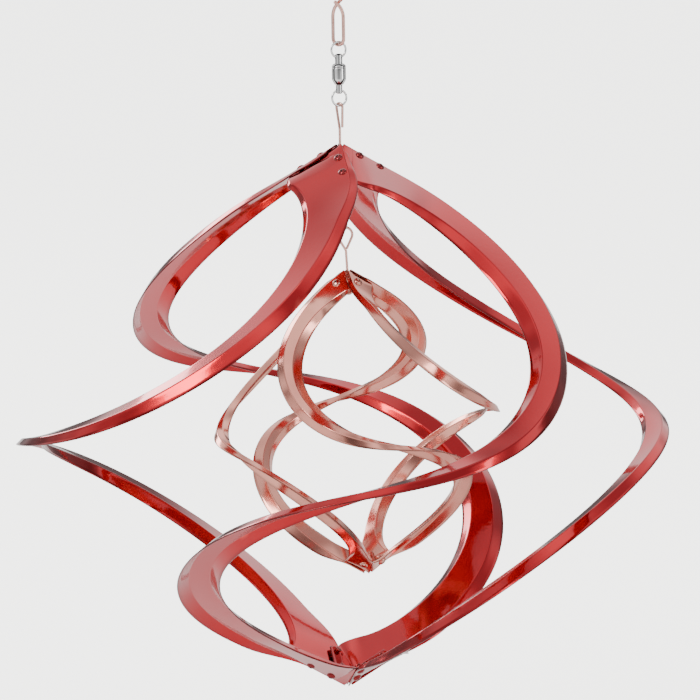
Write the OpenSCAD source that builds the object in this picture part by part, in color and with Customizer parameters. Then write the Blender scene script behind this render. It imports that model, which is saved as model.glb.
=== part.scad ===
// Hanging wind spinner. Two cages of four S-shaped sheet-metal blades, a large red one and a
// small copper one of the opposite hand inside it. Each cage hangs by a wire eye from its own
// ball-bearing swivel, so that the two turn freely of each other.
// The origin is the point of the hook that rests on its support. +Z is up, units are mm.

/* [Outer spinner] */
// Distance from the spin axis to a blade's middle line at mid height
outer_reach = 171; // [150:1:190]
// Half the height between the two peaks
outer_half_height = 148.6; // [135:0.1:160]
// Half the width of the loop that a blade draws in plan
outer_loop = 83; // [75:1:90]
// Width of the flat face of a blade, half way between peak and middle
outer_face = 13; // [10:0.5:16]
// Width of the bent edges of a blade
outer_flange = 5.2; // [4:0.1:6]
// Thickness of the sheet
outer_sheet = 0.8; // [0.6:0.1:1]
// How far the blades hang down between the two peaks
outer_droop = 3.1; // [0:0.1:5]

/* [Inner spinner] */
// Distance from the spin axis to a blade's middle line at mid height
inner_reach = 75.5; // [68:0.5:80]
// Half the height between the two peaks
inner_half_height = 83.5; // [78:0.5:88]
// Half the width of the loop that a blade draws in plan
inner_loop = 39; // [35:0.5:44]
// Width of the flat face of a blade, half way between peak and middle
inner_face = 5; // [4:0.2:6]
// Width of the bent edges of a blade
inner_flange = 4.2; // [3.4:0.1:4.6]
// Thickness of the sheet
inner_sheet = 0.6; // [0.5:0.1:0.8]
// How far the inner spinner's top peak sits below the outer one's
peak_gap = 68; // [66:0.5:72]
// How far out of plumb the inner spinner and its swivel hang, in degrees
inner_hang = 3; // [0:0.5:3]

/* [Rivets] */
// Radius of a pop rivet's shank
rivet_r = 1.2; // [1:0.1:1.4]
// Radius of a pop rivet's domed head
rivet_head_r = 2.5; // [2.2:0.1:2.6]
// Clear gap between the two sheets of a riveted lap
lap_gap = 0.35; // [0.3:0.05:0.5]

/* [Swivels] */
// Outer radius of a swivel's barrel
barrel_r = 3.8; // [3.4:0.1:4.2]
// Height of the barrel
barrel_h = 11.2; // [10.8:0.1:12.4]
// Radius of the pin's neck outside the barrel
neck_r = 2; // [1.8:0.1:2.2]
// Wire radius of the swivel's rings
ring_wire_r = 0.55; // [0.5:0.05:0.6]
// Radius of a ring's wire centre line
ring_r = 4.2; // [4:0.1:4.8]
// Radius of a bearing ball
ball_r = 0.6; // [0.5:0.05:0.65]
// Number of balls in a bearing
ball_count = 10; // [6:1:10]

/* [Wires] */
// Radius of the hanger's wire
hanger_wire_r = 0.95; // [0.8:0.05:1.1]
// Inner radius of the hanger's hook
hook_r = 9; // [8:0.5:12]
// Length of the hanger's closed lower link, from the crossing to the bottom bend
link_len = 19; // [17:0.5:22]
// Radius of the wire of the two spinners' eyes
eye_wire_r = 0.7; // [0.6:0.05:0.8]
// Bend radius of the outer spinner's narrow eye
outer_eye_r = 1.95; // [1.8:0.05:2.1]
// Bend radius of the inner spinner's rounder eye
inner_eye_r = 4; // [3.4:0.1:4.2]

/* [Quality] */
// Stations along half a blade, between its root and its middle
half_stations = 28; // [20:1:30]

/* [Hidden] */
$fn = 48;

// The height of a hub's ridges falls by this share of the distance from the axis
outer_slope = 0.59;
inner_slope = 0.675;
// Distance from the axis at which the four tips of a hub stop, leaving room for the wire
tip_r = 1.9;
// A blade is described from s = -1 at its upper root, through s = 0 at its outermost point, to
// s = 1 at its lower root. Its middle line is a sum of a few waves of s:
//   out: cosine terms of the distance towards the blade's tip, as shares of the reach
//   side: sine terms of the sideways distance, as shares of the loop, and a root term in s^7
//   rise: linear and sine terms of the height, as shares of the half height
//   bank: linear, sine and s^7 terms of the tilt of the face, in degrees
//   face: cosine terms of the face's width, as shares of the face, and a root term in s^8
//   edge: cosine terms of the bent edges' width, as shares of the flange
out_terms = [0.441, 0.477, 0.102, -0.02];
side_terms = [1, 0.224, -0.067];
side_root = 0.044;
rise_terms = [0.946, 0.04, -0.095];
bank_terms = [24.6, -16.1, -14.9, -3, 0.7];
bank_root = 4.3;
face_terms = [1.2, -0.73, 0.28, -0.12, 0.07, -0.06];
face_root = 0.9;
edge_terms = [1, 0.2, -0.4];
// Factors of the tilt away from the roots: the small blade leans over more than the large one
outer_lean = 1;
inner_lean = 1.9;
// Bend of a blade's edges, and how much more it bends at the tip than at the roots
edge_bend = 44;
edge_bend_more = 5;
// A hub's corner lies this many times further out than a blade's middle line at its root. The
// lapping side leaves the hub at this share of the corner's distance.
corner_share = 1.7;
root_share = 0.28;
// Stretches of s over which the parts of a blade pass into the hub: the lapping crease, the foot
// of that crease, the tucked crease, and the tilt of the face
lap_from = 0.68;
lap_to = 0.86;
foot_from = 0.9;
tuck_from = 0.88;
tilt_from = 0.7;
tilt_to = 0.95;
// The droop grows between these shares of the reach
droop_from = 0.12;
droop_to = 0.7;
// Width of the tab that a blade tucks under its neighbour, and the spots of the lap's rivets,
// each as distances along the tab's ridge and away from it
outer_tab = 6.6;
outer_spots = [[10, 2.9], [21, 2.9]];
inner_tab = 6;
inner_spots = [[7.2, 3.6]];
// The small blades are stiff enough to keep their shape
inner_droop = 0;

// Every blade's numbers in one list, read by the functions below
outer = [outer_reach, outer_half_height, outer_loop, outer_face, outer_flange, outer_sheet,
    outer_slope, outer_lean, outer_tab, outer_spots, outer_droop];
inner = [inner_reach, inner_half_height, inner_loop, inner_face, inner_flange, inner_sheet,
    inner_slope, inner_lean, inner_tab, inner_spots, inner_droop];
function reach(b) = b[0];
function half_height(b) = b[1];
function loop(b) = b[2];
function face(b) = b[3];
function flange(b) = b[4];
function sheet(b) = b[5];
function slope(b) = b[6];
function lean(b) = b[7];
function tab(b) = b[8];
function spots(b) = b[9];
function droop(b) = b[10];

// Sums of waves, a unit vector, a mix of two values and a smooth step from 0 to 1
function cosines(terms, s) = sum([for (i = [0 : len(terms) - 1]) terms[i] * cos(180 * i * s)]);
function sines(terms, s) = sum([for (i = [0 : len(terms) - 1]) terms[i] * sin(180 * (i + 1) * s)]);
function sum(v, i = 0) = i < len(v) ? v[i] + sum(v, i + 1) : 0;
function tail(v) = [for (i = [1 : len(v) - 1]) v[i]];
function unit(v) = v / norm(v);
function mix(a, b, t) = a + (b - a) * t;
function ease(x, lo, hi) = let (t = min(max((x - lo) / (hi - lo), 0), 1)) t * t * (3 - 2 * t);

// Middle line, face width and tilt of blade b
function middle(b, s) = [
    reach(b) * cosines(out_terms, s),
    -loop(b) * (sines(side_terms, s) + side_root * pow(s, 7)),
    -half_height(b) * (rise_terms[0] * s + sines(tail(rise_terms), s))
];
function width(b, s) = face(b) * (cosines(face_terms, s) + face_root * pow(s, 8));
function bank(b, s) =
    mix(-lean(b), -1, ease(abs(s), tilt_from, tilt_to))
    * (bank_terms[0] * s + sines(tail(bank_terms), s) + bank_root * pow(s, 7));
function heading(b, s) = unit(middle(b, s + 0.01) - middle(b, s - 0.01));
function across(b, s) =
    let (t = heading(b, s), level = unit([-t[1], t[0], 0]))
    cos(bank(b, s)) * level + sin(bank(b, s)) * cross(t, level);

// Height of a hub face over its slant, and how far the lapping side lies above the tucked side
function steep(b) = sqrt(1 + 2 * slope(b) * slope(b));
function lap_lift(b) = (sheet(b) + lap_gap) * steep(b);
// The hub's two ridges that bound this blade: it laps over the one along Y, and tucks under the
// one along X
function lap_ridge(b, r) = [0, r, half_height(b) + lap_lift(b) - slope(b) * r];
function tuck_ridge(b, r) = [r, 0, half_height(b) - slope(b) * r];
// The two crease lines of the upper half, from s = -1 to 0. Each runs into its ridge at the root.
function lap_crease(b, s) =
    let (
        p = middle(b, s) + across(b, s) * width(b, s) / 2,
        r = mix(p[1], root_r(b), ease(-s, foot_from, 1))
    )
    mix(p, lap_ridge(b, r), ease(-s, lap_from, lap_to));
function tuck_crease(b, s) =
    let (p = middle(b, s) - across(b, s) * width(b, s) / 2)
    mix([p[0], max(p[1], 0), p[2]], tuck_ridge(b, corner_r(b)), ease(-s, tuck_from, 1));
function corner_r(b) = corner_share * middle(b, -1)[0];
function root_r(b) = root_share * corner_r(b);

// Stations of the upper half: the hub's wedge from its tip to the corner, then the free blade
wedge = [0, 0.14, 0.24, 0.5, 0.8, 0.95];
function wedge_pair(b, c) = [
    lap_ridge(b, mix(tip_r, root_r(b), c)),
    tuck_ridge(b, mix(tip_r, corner_r(b), c))
];
function free_pair(b, s) = [lap_crease(b, s), tuck_crease(b, s)];
free_s = [for (i = [0 : half_stations]) -1 + i / half_stations];
function upper_pairs(b) = concat(
    [for (c = wedge) wedge_pair(b, c)],
    [for (s = free_s) free_pair(b, s)]
);
// The lower half is the upper half turned about the line through the blade's outermost point
function turned(p) = [p[0], -p[1], -p[2]];
function hung_down(b, p) =
    p - [0, 0, droop(b) * ease(norm([p[0], p[1]]), droop_from * reach(b), droop_to * reach(b))];
function all_pairs(b) =
    let (
        up = upper_pairs(b),
        n = len(up),
        down = [for (i = [n - 2 : -1 : 0]) [turned(up[i][0]), turned(up[i][1])]]
    )
    [for (pair = concat(up, down)) [hung_down(b, pair[0]), hung_down(b, pair[1])]];
// Place of each station along the blade: -2 to -1 in the upper wedge, -1 to 1 free, 1 to 2 lower
function places() =
    let (up = concat([for (c = wedge) c - 2], free_s), n = len(up))
    concat(up, [for (i = [n - 2 : -1 : 0]) -up[i]]);

// Widths and bends of the two edges at place q. Above, the lapping edge folds over the neighbour
// and the tab tucks under it. Below, the tab folds up inside the neighbour instead.
least_edge = 0.3;
function edge_width(b, s) = flange(b) * cosines(edge_terms, s);
function lap_width(b, q) =
    q < -1 ? least_edge
    : q < 0 ? mix(least_edge, edge_width(b, q), ease(q, -1, -0.93))
    : mix(edge_width(b, min(q, 1)), least_edge, ease(q, tilt_from, lap_to));
function tab_width(b, q) =
    let (c = 2 - abs(q))
    c < 0.96 ? least_edge + (tab(b) - least_edge) * ease(c, 0.02, 0.24)
    : least_edge;
function tuck_width(b, q) =
    abs(q) > 1 ? tab_width(b, q)
    : mix(edge_width(b, q), least_edge, ease(abs(q), tuck_from, 1));
function free_bend(q) = edge_bend + edge_bend_more * cos(180 * q);
// In the hub the lapping edge lies along the neighbour's face, and the tab along the other
// neighbour's: each bends by the angle between that face's upper normal and this one's, up.
// A lapping face falls towards the tucked side by lap_fall beyond the hub's slope.
function lap_fall(b) = lap_lift(b) / corner_r(b);
function face_below(b, r) =
    let (c = min((r - tip_r) / (corner_r(b) - tip_r), 1), foot = mix(tip_r, root_r(b), c))
    unit([lap_lift(b) / foot - slope(b), slope(b), 1]);
function face_over_tab(b, q) = unit([-sign(q) * slope(b), -slope(b) - lap_fall(b), 1]);
// The lapping edge stands open by lap_open degrees where it passes the neighbour's corner.
lap_open = 18;
function folded_bend(b, up, r) =
    acos(up * face_below(b, r)) - lap_open * ease(r, 0.6 * corner_r(b), corner_r(b));
function lap_bend(b, q, up, r) =
    q < 0 ? mix(free_bend(max(q, -1)), folded_bend(b, up, r), ease(-q, lap_from, lap_to))
    : free_bend(min(q, 1));
function tuck_bend(b, q, up) =
    abs(q) > 1 ? -sign(q) * acos(up * face_over_tab(b, q)) : free_bend(q);

// Eight corners of the sheet's cross-section: over the top from the lapping edge to the tucked
// edge, and back along the underside
function section(b, pairs, q, i) =
    let (
        before = pairs[max(i - 1, 0)],
        after = pairs[min(i + 1, len(pairs) - 1)],
        lap = pairs[i][0],
        tuck = pairs[i][1],
        lap_way = unit(after[0] - before[0]),
        tuck_way = unit(after[1] - before[1]),
        way = unit(lap_way + tuck_way),
        side = unit(lap - tuck),
        up = unit(cross(way, side)),
        lap_out = unit(cross(up, lap_way)) * -1,
        tuck_out = unit(cross(up, tuck_way)),
        lap_b = lap_bend(b, q[i], up, lap[1]),
        tuck_b = tuck_bend(b, q[i], up),
        lap_side = sign(lap_out * side),
        tuck_side = -sign(tuck_out * side),
        lap_dir = cos(lap_b) * lap_out * lap_side - sin(lap_b) * up,
        tuck_dir = cos(tuck_b) * tuck_out * tuck_side - sin(tuck_b) * up,
        lap_up = cos(lap_b) * up + sin(lap_b) * lap_out * lap_side,
        tuck_up = cos(tuck_b) * up + sin(tuck_b) * tuck_out * tuck_side,
        half = sheet(b) / 2,
        lap_mitre = (lap_up + up) / (1 + cos(lap_b)),
        tuck_mitre = (tuck_up + up) / (1 + cos(tuck_b)),
        lap_end = lap + lap_dir * lap_width(b, q[i]),
        tuck_end = tuck + tuck_dir * tuck_width(b, q[i])
    )
    [
        lap_end + half * lap_up, lap + half * lap_mitre,
        tuck + half * tuck_mitre, tuck_end + half * tuck_up,
        tuck_end - half * tuck_up, tuck - half * tuck_mitre,
        lap - half * lap_mitre, lap_end - half * lap_up
    ];

// Closed sheet over all the sections
corners = 8;
module blade_sheet(b) {
    pairs = all_pairs(b);
    q = places();
    n = len(pairs);
    points = [for (i = [0 : n - 1]) each section(b, pairs, q, i)];
    sides = [for (i = [0 : n - 2]) for (j = [0 : corners - 1])
        let (k = (j + 1) % corners, a = i * corners, c = a + corners)
        each [[a + j, a + k, c + k], [a + j, c + k, c + j]]];
    first_end = [for (j = [0 : 2]) each [[j, 7 - j, 6 - j], [j, 6 - j, j + 1]]];
    last = (n - 1) * corners;
    last_end = [for (f = first_end) [last + f[0], last + f[2], last + f[1]]];
    polyhedron(points, concat(sides, first_end, last_end), convexity = 10);
}

// Puts its children at each rivet of one hub's lap along Y, standing on the lapping sheet
module at_lap_rivets(b) {
    lift = lap_lift(b) + sheet(b) / 2 * steep(b) - head_drop;
    fall = [slope(b) + lap_fall(b), slope(b)];
    for (spot = spots(b))
        translate([spot[1], spot[0], half_height(b) + lift - fall * [spot[1], spot[0]]])
            rotate([0, atan(norm(fall)), atan2(fall[1], fall[0])])
                children();
}
head_drop = 0.12;

// One blade with the holes of its own laps and of the tabs under its neighbours
hole_len = 8;
module blade(b) {
    difference() {
        blade_sheet(b);
        for (end = [0, 180]) rotate([end, 0, 0])
            for (turn = [0, -90]) rotate(turn)
                at_lap_rivets(b)
                    cylinder(r = rivet_r + 0.05, h = hole_len, center = true);
    }
}

// Pop rivet, with the underside of its head at the origin
rivet_head_h = 1.8;
rivet_dimple_r = 0.55;
rivet_dimple_h = 1.1;
rivet_tail_r = 1.7;
rivet_tail_h = 1.4;
module rivet(b) {
    grip = 2 * sheet(b) + lap_gap + 0.3;
    rotate_extrude()
        polygon([
            [0, -grip - rivet_tail_h], [rivet_tail_r - 0.5, -grip - rivet_tail_h],
            [rivet_tail_r, -grip - rivet_tail_h + 0.5], [rivet_tail_r, -grip - 0.2],
            [rivet_r, -grip], [rivet_r, 0], [rivet_head_r, 0],
            [rivet_head_r, rivet_head_h * 0.3], [rivet_head_r * 0.9, rivet_head_h * 0.62],
            [rivet_head_r * 0.7, rivet_head_h * 0.86], [rivet_head_r * 0.4, rivet_head_h],
            [rivet_dimple_r, rivet_head_h],
            [rivet_dimple_r, rivet_head_h - rivet_dimple_h], [0, rivet_head_h - rivet_dimple_h]
        ]);
}
module hub_rivets(b) {
    for (k = [0 : 3]) rotate(90 * k)
        at_lap_rivets(b) rivet(b);
}

// Wire in the XZ plane: a straight length between two points, and a bend about a centre. The
// lengths stop just short of where they meet, inside a bead that is a hair fatter than the wire.
joint_gap = 0.03;
joint_swell = 0.02;
module rod(from, to, r) {
    way = to - from;
    translate([from[0], 0, from[1]])
        rotate([0, atan2(way[0], way[1]), 0])
            translate([0, 0, joint_gap])
                cylinder(r = r, h = norm(way) - 2 * joint_gap);
}
module bend(centre, radius, r, start, sweep) {
    gap_turn = joint_gap / radius * 180 / PI;
    translate([centre[0], 0, centre[1]])
        rotate([90, 0, 0])
            rotate_extrude(angle = sweep - 2 * gap_turn, start = start + gap_turn)
                translate([radius, 0])
                    circle(r = r);
}
module bead(at, r) {
    translate([at[0], 0, at[1]])
        sphere(r = r + joint_swell);
}
function on_bend(centre, radius, turn) = centre + radius * [cos(turn), sin(turn)];

// Turn of each wire part about the vertical, so that linked loops stand across each other
loop_turn = -35;
ring_turn = 25;
inner_loop_turn = 0;
lower_swivel_turn = 45;

// Hanger: a hook above, and below it a closed link, whose free end passes before the main strand
link_bend_r = 3.4;
hook_line_r = hook_r + hanger_wire_r;
splay = 48;
cross_z = -hook_r - hook_line_r / sin(splay);
link_z = cross_z - link_len;
side_r = link_bend_r / (1 - cos(splay));
shoulder_z = cross_z - side_r * sin(splay);
free_end_turn = asin((2 * hanger_wire_r + 0.3) / link_bend_r);
hook_over = 32;
module hanger_hook() {
    hook_centre = [0, -hook_r];
    hook_foot = on_bend(hook_centre, hook_line_r, -splay);
    link_centre = [0, link_z];
    free_sweep = splay * 1.15;
    free_centre = [link_bend_r - side_r, shoulder_z];
    color("#d98f78") rotate(loop_turn) {
        bead(on_bend(hook_centre, hook_line_r, 180 + hook_over), hanger_wire_r);
        bend(hook_centre, hook_line_r, hanger_wire_r, -splay, 180 + splay + hook_over);
        bead(hook_foot, hanger_wire_r);
        rod([0, cross_z], hook_foot, hanger_wire_r);
        bead([0, cross_z], hanger_wire_r);
        bend([side_r - link_bend_r, shoulder_z], side_r, hanger_wire_r, 180 - splay, splay);
        bend(link_centre, link_bend_r, hanger_wire_r, 180, 180);
        for (x = [-link_bend_r, link_bend_r]) {
            bead([x, shoulder_z], hanger_wire_r);
            rod([x, link_z], [x, shoulder_z], hanger_wire_r);
            bead([x, link_z], hanger_wire_r);
        }
        translate([link_bend_r, 0, 0]) rotate(free_end_turn) translate([-link_bend_r, 0, 0]) {
            bend(free_centre, side_r, hanger_wire_r, 0, free_sweep);
            bead(on_bend(free_centre, side_r, free_sweep), hanger_wire_r);
        }
    }
}

// Swivel, measured up from the underside of its barrel
wire_gap = 0.1;
shank_r = 1.25;
bore_r = shank_r + 0.06;
wall = 0.7;
cavity_r = barrel_r - wall;
floor_h = 2.3;
foot_r = 2.2;
taper_h = 3;
rim_z = barrel_h - 1.5;
race_h = 0.5;
play = 0.03;
ball_z = floor_h + play + race_h + play + ball_r;
ball_pitch_r = (shank_r + cavity_r) / 2;
spin_head_z = ball_z + ball_r + play;
spin_head_h = 1.3;
staked_head_z = rim_z - 2.6;
staked_head_h = 1;
upper_neck_len = 3.3;
lower_neck_r = neck_r - 0.25;
lower_neck_len = 3;
ring_top_z = barrel_h + upper_neck_len + 2 * ring_r;
swivel_drop = ring_top_z + lower_neck_len + 2 * ring_r;
// A ring's bend rises by this much where it leaves a neck of radius r, and the eye allows for it
function sag(r) = ring_r - sqrt(ring_r * ring_r - r * r);
function eye_hole_r(r) = ring_wire_r + sag(r) / 2 + 0.15;

module ring_at(z) {
    translate([0, 0, z]) rotate([0, 0, ring_turn]) rotate([90, 0, 0])
        rotate_extrude()
            translate([ring_r, 0])
                circle(r = ring_wire_r);
}
module eye_hole(z, r) {
    translate([0, 0, z]) rotate([0, 90, ring_turn])
        cylinder(r = eye_hole_r(r), h = 4 * r, center = true);
}
module top_ring() {
    color("#d5d8da") ring_at(barrel_h + upper_neck_len + ring_r);
}
module top_pin() {
    hole_z = barrel_h + upper_neck_len + sag(neck_r) / 2;
    top_z = hole_z + eye_hole_r(neck_r) + 0.8;
    color("#c9ccce") difference() {
        rotate_extrude()
            polygon([
                [0, staked_head_z], [2.2, staked_head_z], [2.2, staked_head_z + staked_head_h],
                [shank_r, staked_head_z + staked_head_h], [shank_r, barrel_h + play],
                [neck_r, barrel_h + play], [neck_r, top_z - 0.6], [neck_r - 0.6, top_z],
                [0, top_z]
            ]);
        eye_hole(hole_z, neck_r);
    }
}
module barrel() {
    color("#c9ccce") rotate_extrude()
        polygon([
            [bore_r, 0], [foot_r, 0], [mix(foot_r, barrel_r, 0.45), taper_h * 0.35],
            [mix(foot_r, barrel_r, 0.83), taper_h * 0.72], [barrel_r, taper_h], [barrel_r, rim_z],
            [cavity_r, rim_z], [cavity_r, floor_h], [bore_r, floor_h]
        ]);
}
module end_cap() {
    plug_h = 1.5;
    color("#c9ccce") rotate_extrude()
        polygon([
            [shank_r + 0.01, rim_z - plug_h], [cavity_r - 0.01, rim_z - plug_h],
            [cavity_r - 0.01, rim_z + 0.01], [barrel_r, rim_z + 0.01], [barrel_r, rim_z + 0.4],
            [2.7, barrel_h], [shank_r + 0.01, barrel_h]
        ]);
}
module race() {
    color("#8f9396") translate([0, 0, floor_h + play]) difference() {
        cylinder(r = cavity_r - 0.05, h = race_h);
        translate([0, 0, -1]) cylinder(r = shank_r + 0.15, h = race_h + 2);
    }
}
module balls() {
    color("#8f9396") for (i = [0 : ball_count - 1]) rotate(360 / ball_count * i)
        translate([ball_pitch_r, 0, ball_z])
            sphere(r = ball_r);
}
module spin_pin() {
    hole_z = -lower_neck_len - sag(lower_neck_r) / 2;
    end_z = hole_z - eye_hole_r(lower_neck_r) - 0.8;
    color("#c9ccce") difference() {
        rotate_extrude()
            polygon([
                [0, end_z], [lower_neck_r - 0.5, end_z], [lower_neck_r, end_z + 0.5],
                [lower_neck_r, -0.3], [shank_r, -0.3], [shank_r, spin_head_z],
                [cavity_r - 0.3, spin_head_z], [cavity_r - 0.3, spin_head_z + spin_head_h],
                [0, spin_head_z + spin_head_h]
            ]);
        eye_hole(hole_z, lower_neck_r);
    }
}
module bottom_ring() {
    color("#d5d8da") ring_at(-lower_neck_len - ring_r);
}

// Wire eye: a stem with a loop above and a loop below. Heights are from the hub's peak.
outer_eye_len = 12;
inner_eye_len = 8.6;
under_eye_r = 1.95;
under_len = 5.4;
washer_z = -4.1;
washer_h = 0.8;
tip_gap = 1.2;
// The free side of a loop leans back to its stem by this share of the other side's lean
open_share = 0.15;
closed_share = 1;
module wire_loop(stem_z, len, r, share) {
    lean = asin(r / len);
    side_len = sqrt(len * len - r * r);
    centre = [0, stem_z + len];
    turned_in = on_bend(centre, r, 180 + lean);
    turned_out = on_bend(centre, r, -lean * share);
    tip_way = [sin(lean * share), cos(lean * share)];
    tip = turned_out - (side_len - tip_gap) * tip_way;
    bead([0, stem_z], eye_wire_r);
    rod([0, stem_z], turned_in, eye_wire_r);
    bead(turned_in, eye_wire_r);
    bend(centre, r, eye_wire_r, -lean * share, 180 + lean + lean * share);
    bead(turned_out, eye_wire_r);
    rod(turned_out, tip, eye_wire_r);
    bead(tip, eye_wire_r);
}
module wire_eye(stem_top, stem_bottom, len, r, share) {
    color("#d98f78") {
        rod([0, stem_bottom], [0, stem_top], eye_wire_r);
        wire_loop(stem_top, len, r, share);
        rotate([180, 0, 0]) wire_loop(-stem_bottom, under_len, under_eye_r, open_share);
    }
}
module hub_washer() {
    color("#c9ccce") translate([0, 0, washer_z - washer_h]) difference() {
        cylinder(r = 2.9, h = washer_h);
        translate([0, 0, -1]) cylinder(r = eye_wire_r + 0.05, h = washer_h + 2);
    }
}

// Heights of the whole chain, from the hook down
link_bottom = link_z - link_bend_r;
upper_swivel_z = link_bottom + hanger_wire_r + wire_gap + ring_wire_r - ring_top_z;
upper_ring_bottom = upper_swivel_z - lower_neck_len - 2 * ring_r;
hung = ring_wire_r + eye_wire_r + wire_gap;
outer_stem = 8.7;
outer_peak_z = upper_ring_bottom + hung - outer_eye_r - outer_eye_len - outer_stem;
under_stem = -5.6;
under_bottom = outer_peak_z + under_stem - under_len - under_eye_r;
lower_swivel_z = under_bottom + hung - ring_top_z;
lower_ring_bottom = lower_swivel_z - lower_neck_len - 2 * ring_r;
inner_peak_z = outer_peak_z - peak_gap;
inner_stem = lower_ring_bottom + hung - inner_eye_r - inner_eye_len - inner_peak_z;
outer_turn = 11;
inner_turn = 14;

module outer_part(turn = 0) {
    translate([0, 0, outer_peak_z - outer_half_height]) rotate(outer_turn + turn)
        children();
}
// The lower swivel and the inner spinner lean from the loop under the outer spinner's hub
module inner_lean_over() {
    translate([0, 0, under_bottom]) rotate([0, -inner_hang, 0]) translate([0, 0, -under_bottom])
        children();
}
module upper_part() {
    translate([0, 0, upper_swivel_z])
        children();
}
module lower_part() {
    inner_lean_over() translate([0, 0, lower_swivel_z]) rotate(lower_swivel_turn)
        children();
}
module inner_part(turn = 0) {
    inner_lean_over()
        translate([0, 0, inner_peak_z - inner_half_height]) rotate(inner_turn + turn)
            mirror([0, 1, 0])
                children();
}
module outer_blade(k) {
    color("#c4232f") outer_part(90 * k) blade(outer);
}
module inner_blade(k) {
    color("#d98f78") inner_part(90 * k) blade(inner);
}

hanger_hook();
upper_part() top_ring();  // upper_swivel_top_ring
upper_part() top_pin();  // upper_swivel_top_pin
upper_part() barrel();  // upper_swivel_barrel
upper_part() end_cap();  // upper_swivel_end_cap
upper_part() race();  // upper_swivel_race
upper_part() balls();  // upper_swivel_balls
upper_part() spin_pin();  // upper_swivel_spin_pin
upper_part() bottom_ring();  // upper_swivel_bottom_ring
lower_part() top_ring();  // lower_swivel_top_ring
lower_part() top_pin();  // lower_swivel_top_pin
lower_part() barrel();  // lower_swivel_barrel
lower_part() end_cap();  // lower_swivel_end_cap
lower_part() race();  // lower_swivel_race
lower_part() balls();  // lower_swivel_balls
lower_part() spin_pin();  // lower_swivel_spin_pin
lower_part() bottom_ring();  // lower_swivel_bottom_ring
translate([0, 0, outer_peak_z]) rotate(loop_turn)  // outer_wire_eye
        wire_eye(outer_stem, under_stem, outer_eye_len, outer_eye_r, open_share);
translate([0, 0, outer_peak_z]) hub_washer();  // outer_hub_washer
outer_blade(0);  // outer_blade_1
outer_blade(1);  // outer_blade_2
outer_blade(2);  // outer_blade_3
outer_blade(3);  // outer_blade_4
color("#a81d28") outer_part() hub_rivets(outer);  // outer_top_rivets
color("#a81d28") outer_part() rotate([180, 0, 0]) hub_rivets(outer);  // outer_bottom_rivets
inner_lean_over() translate([0, 0, inner_peak_z]) rotate(inner_loop_turn)  // inner_wire_eye
        wire_eye(inner_stem, under_stem, inner_eye_len, inner_eye_r, closed_share);
inner_lean_over() translate([0, 0, inner_peak_z]) hub_washer();  // inner_hub_washer
inner_blade(0);  // inner_blade_1
inner_blade(1);  // inner_blade_2
inner_blade(2);  // inner_blade_3
inner_blade(3);  // inner_blade_4
color("#c27a63") inner_part() hub_rivets(inner);  // inner_top_rivets
color("#c27a63") inner_part() rotate([180, 0, 0]) hub_rivets(inner);  // inner_bottom_rivets
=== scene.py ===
# Looks of the hanging wind spinner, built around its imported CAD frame.
# Lengths are written in millimetres and turned into metres when a mesh is made.
import bpy
import math
from mathutils import Matrix, Vector


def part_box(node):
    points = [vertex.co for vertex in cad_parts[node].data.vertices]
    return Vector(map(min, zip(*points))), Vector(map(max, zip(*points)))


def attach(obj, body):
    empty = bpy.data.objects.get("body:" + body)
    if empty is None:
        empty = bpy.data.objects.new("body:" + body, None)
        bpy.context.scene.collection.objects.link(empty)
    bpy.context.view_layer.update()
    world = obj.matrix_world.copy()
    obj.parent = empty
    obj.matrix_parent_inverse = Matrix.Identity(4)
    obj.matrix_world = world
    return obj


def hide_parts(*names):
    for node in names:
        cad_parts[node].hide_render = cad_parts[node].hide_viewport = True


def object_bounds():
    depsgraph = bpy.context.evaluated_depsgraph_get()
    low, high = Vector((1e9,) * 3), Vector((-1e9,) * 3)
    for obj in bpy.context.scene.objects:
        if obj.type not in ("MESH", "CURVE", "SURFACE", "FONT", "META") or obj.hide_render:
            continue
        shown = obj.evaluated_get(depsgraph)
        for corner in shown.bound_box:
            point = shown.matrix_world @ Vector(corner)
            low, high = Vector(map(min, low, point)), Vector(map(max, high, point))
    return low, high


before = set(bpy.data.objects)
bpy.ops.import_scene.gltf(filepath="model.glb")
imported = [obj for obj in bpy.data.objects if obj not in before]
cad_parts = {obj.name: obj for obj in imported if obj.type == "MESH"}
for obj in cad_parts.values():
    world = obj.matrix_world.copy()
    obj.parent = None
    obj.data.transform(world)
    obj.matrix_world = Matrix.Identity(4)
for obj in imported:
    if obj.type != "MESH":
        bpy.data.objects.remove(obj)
CAD_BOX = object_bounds()
MM = 0.001


# ---------------------------------------------------------------- small helpers

def mix(a, b, t):
    return a + (b - a) * t


def ease(x, low, high):
    t = min(max((x - low) / (high - low), 0.0), 1.0)
    return t * t * (3 - 2 * t)


def cosines(terms, s):
    return sum(v * math.cos(math.pi * i * s) for i, v in enumerate(terms))


def sines(terms, s):
    return sum(v * math.sin(math.pi * (i + 1) * s) for i, v in enumerate(terms))


def turn_z(degrees):
    return Matrix.Rotation(math.radians(degrees), 4, "Z")


def node_middle(node):
    low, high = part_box(node)
    return [(a + b) / 2 / MM for a, b in zip(low, high)]


def node_bottom(node):
    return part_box(node)[0][2] / MM


def make_piece(name, points, faces, material, body, nodes, matrix=None):
    """One smooth-shaded mesh, given in millimetres, that rides on a body and replaces CAD nodes."""
    if matrix is not None:
        points = [matrix @ Vector(p) for p in points]
        if matrix.determinant() < 0:
            faces = [tuple(reversed(f)) for f in faces]
    mesh = bpy.data.meshes.new(name)
    mesh.from_pydata([tuple(c * MM for c in p) for p in points], [], faces)
    mesh.update()
    for polygon in mesh.polygons:
        polygon.use_smooth = True
    mesh.materials.append(material)
    piece = bpy.data.objects.new(name, mesh)
    bpy.context.scene.collection.objects.link(piece)
    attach(piece, body)
    if nodes:
        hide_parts(*nodes)
    return piece


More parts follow.
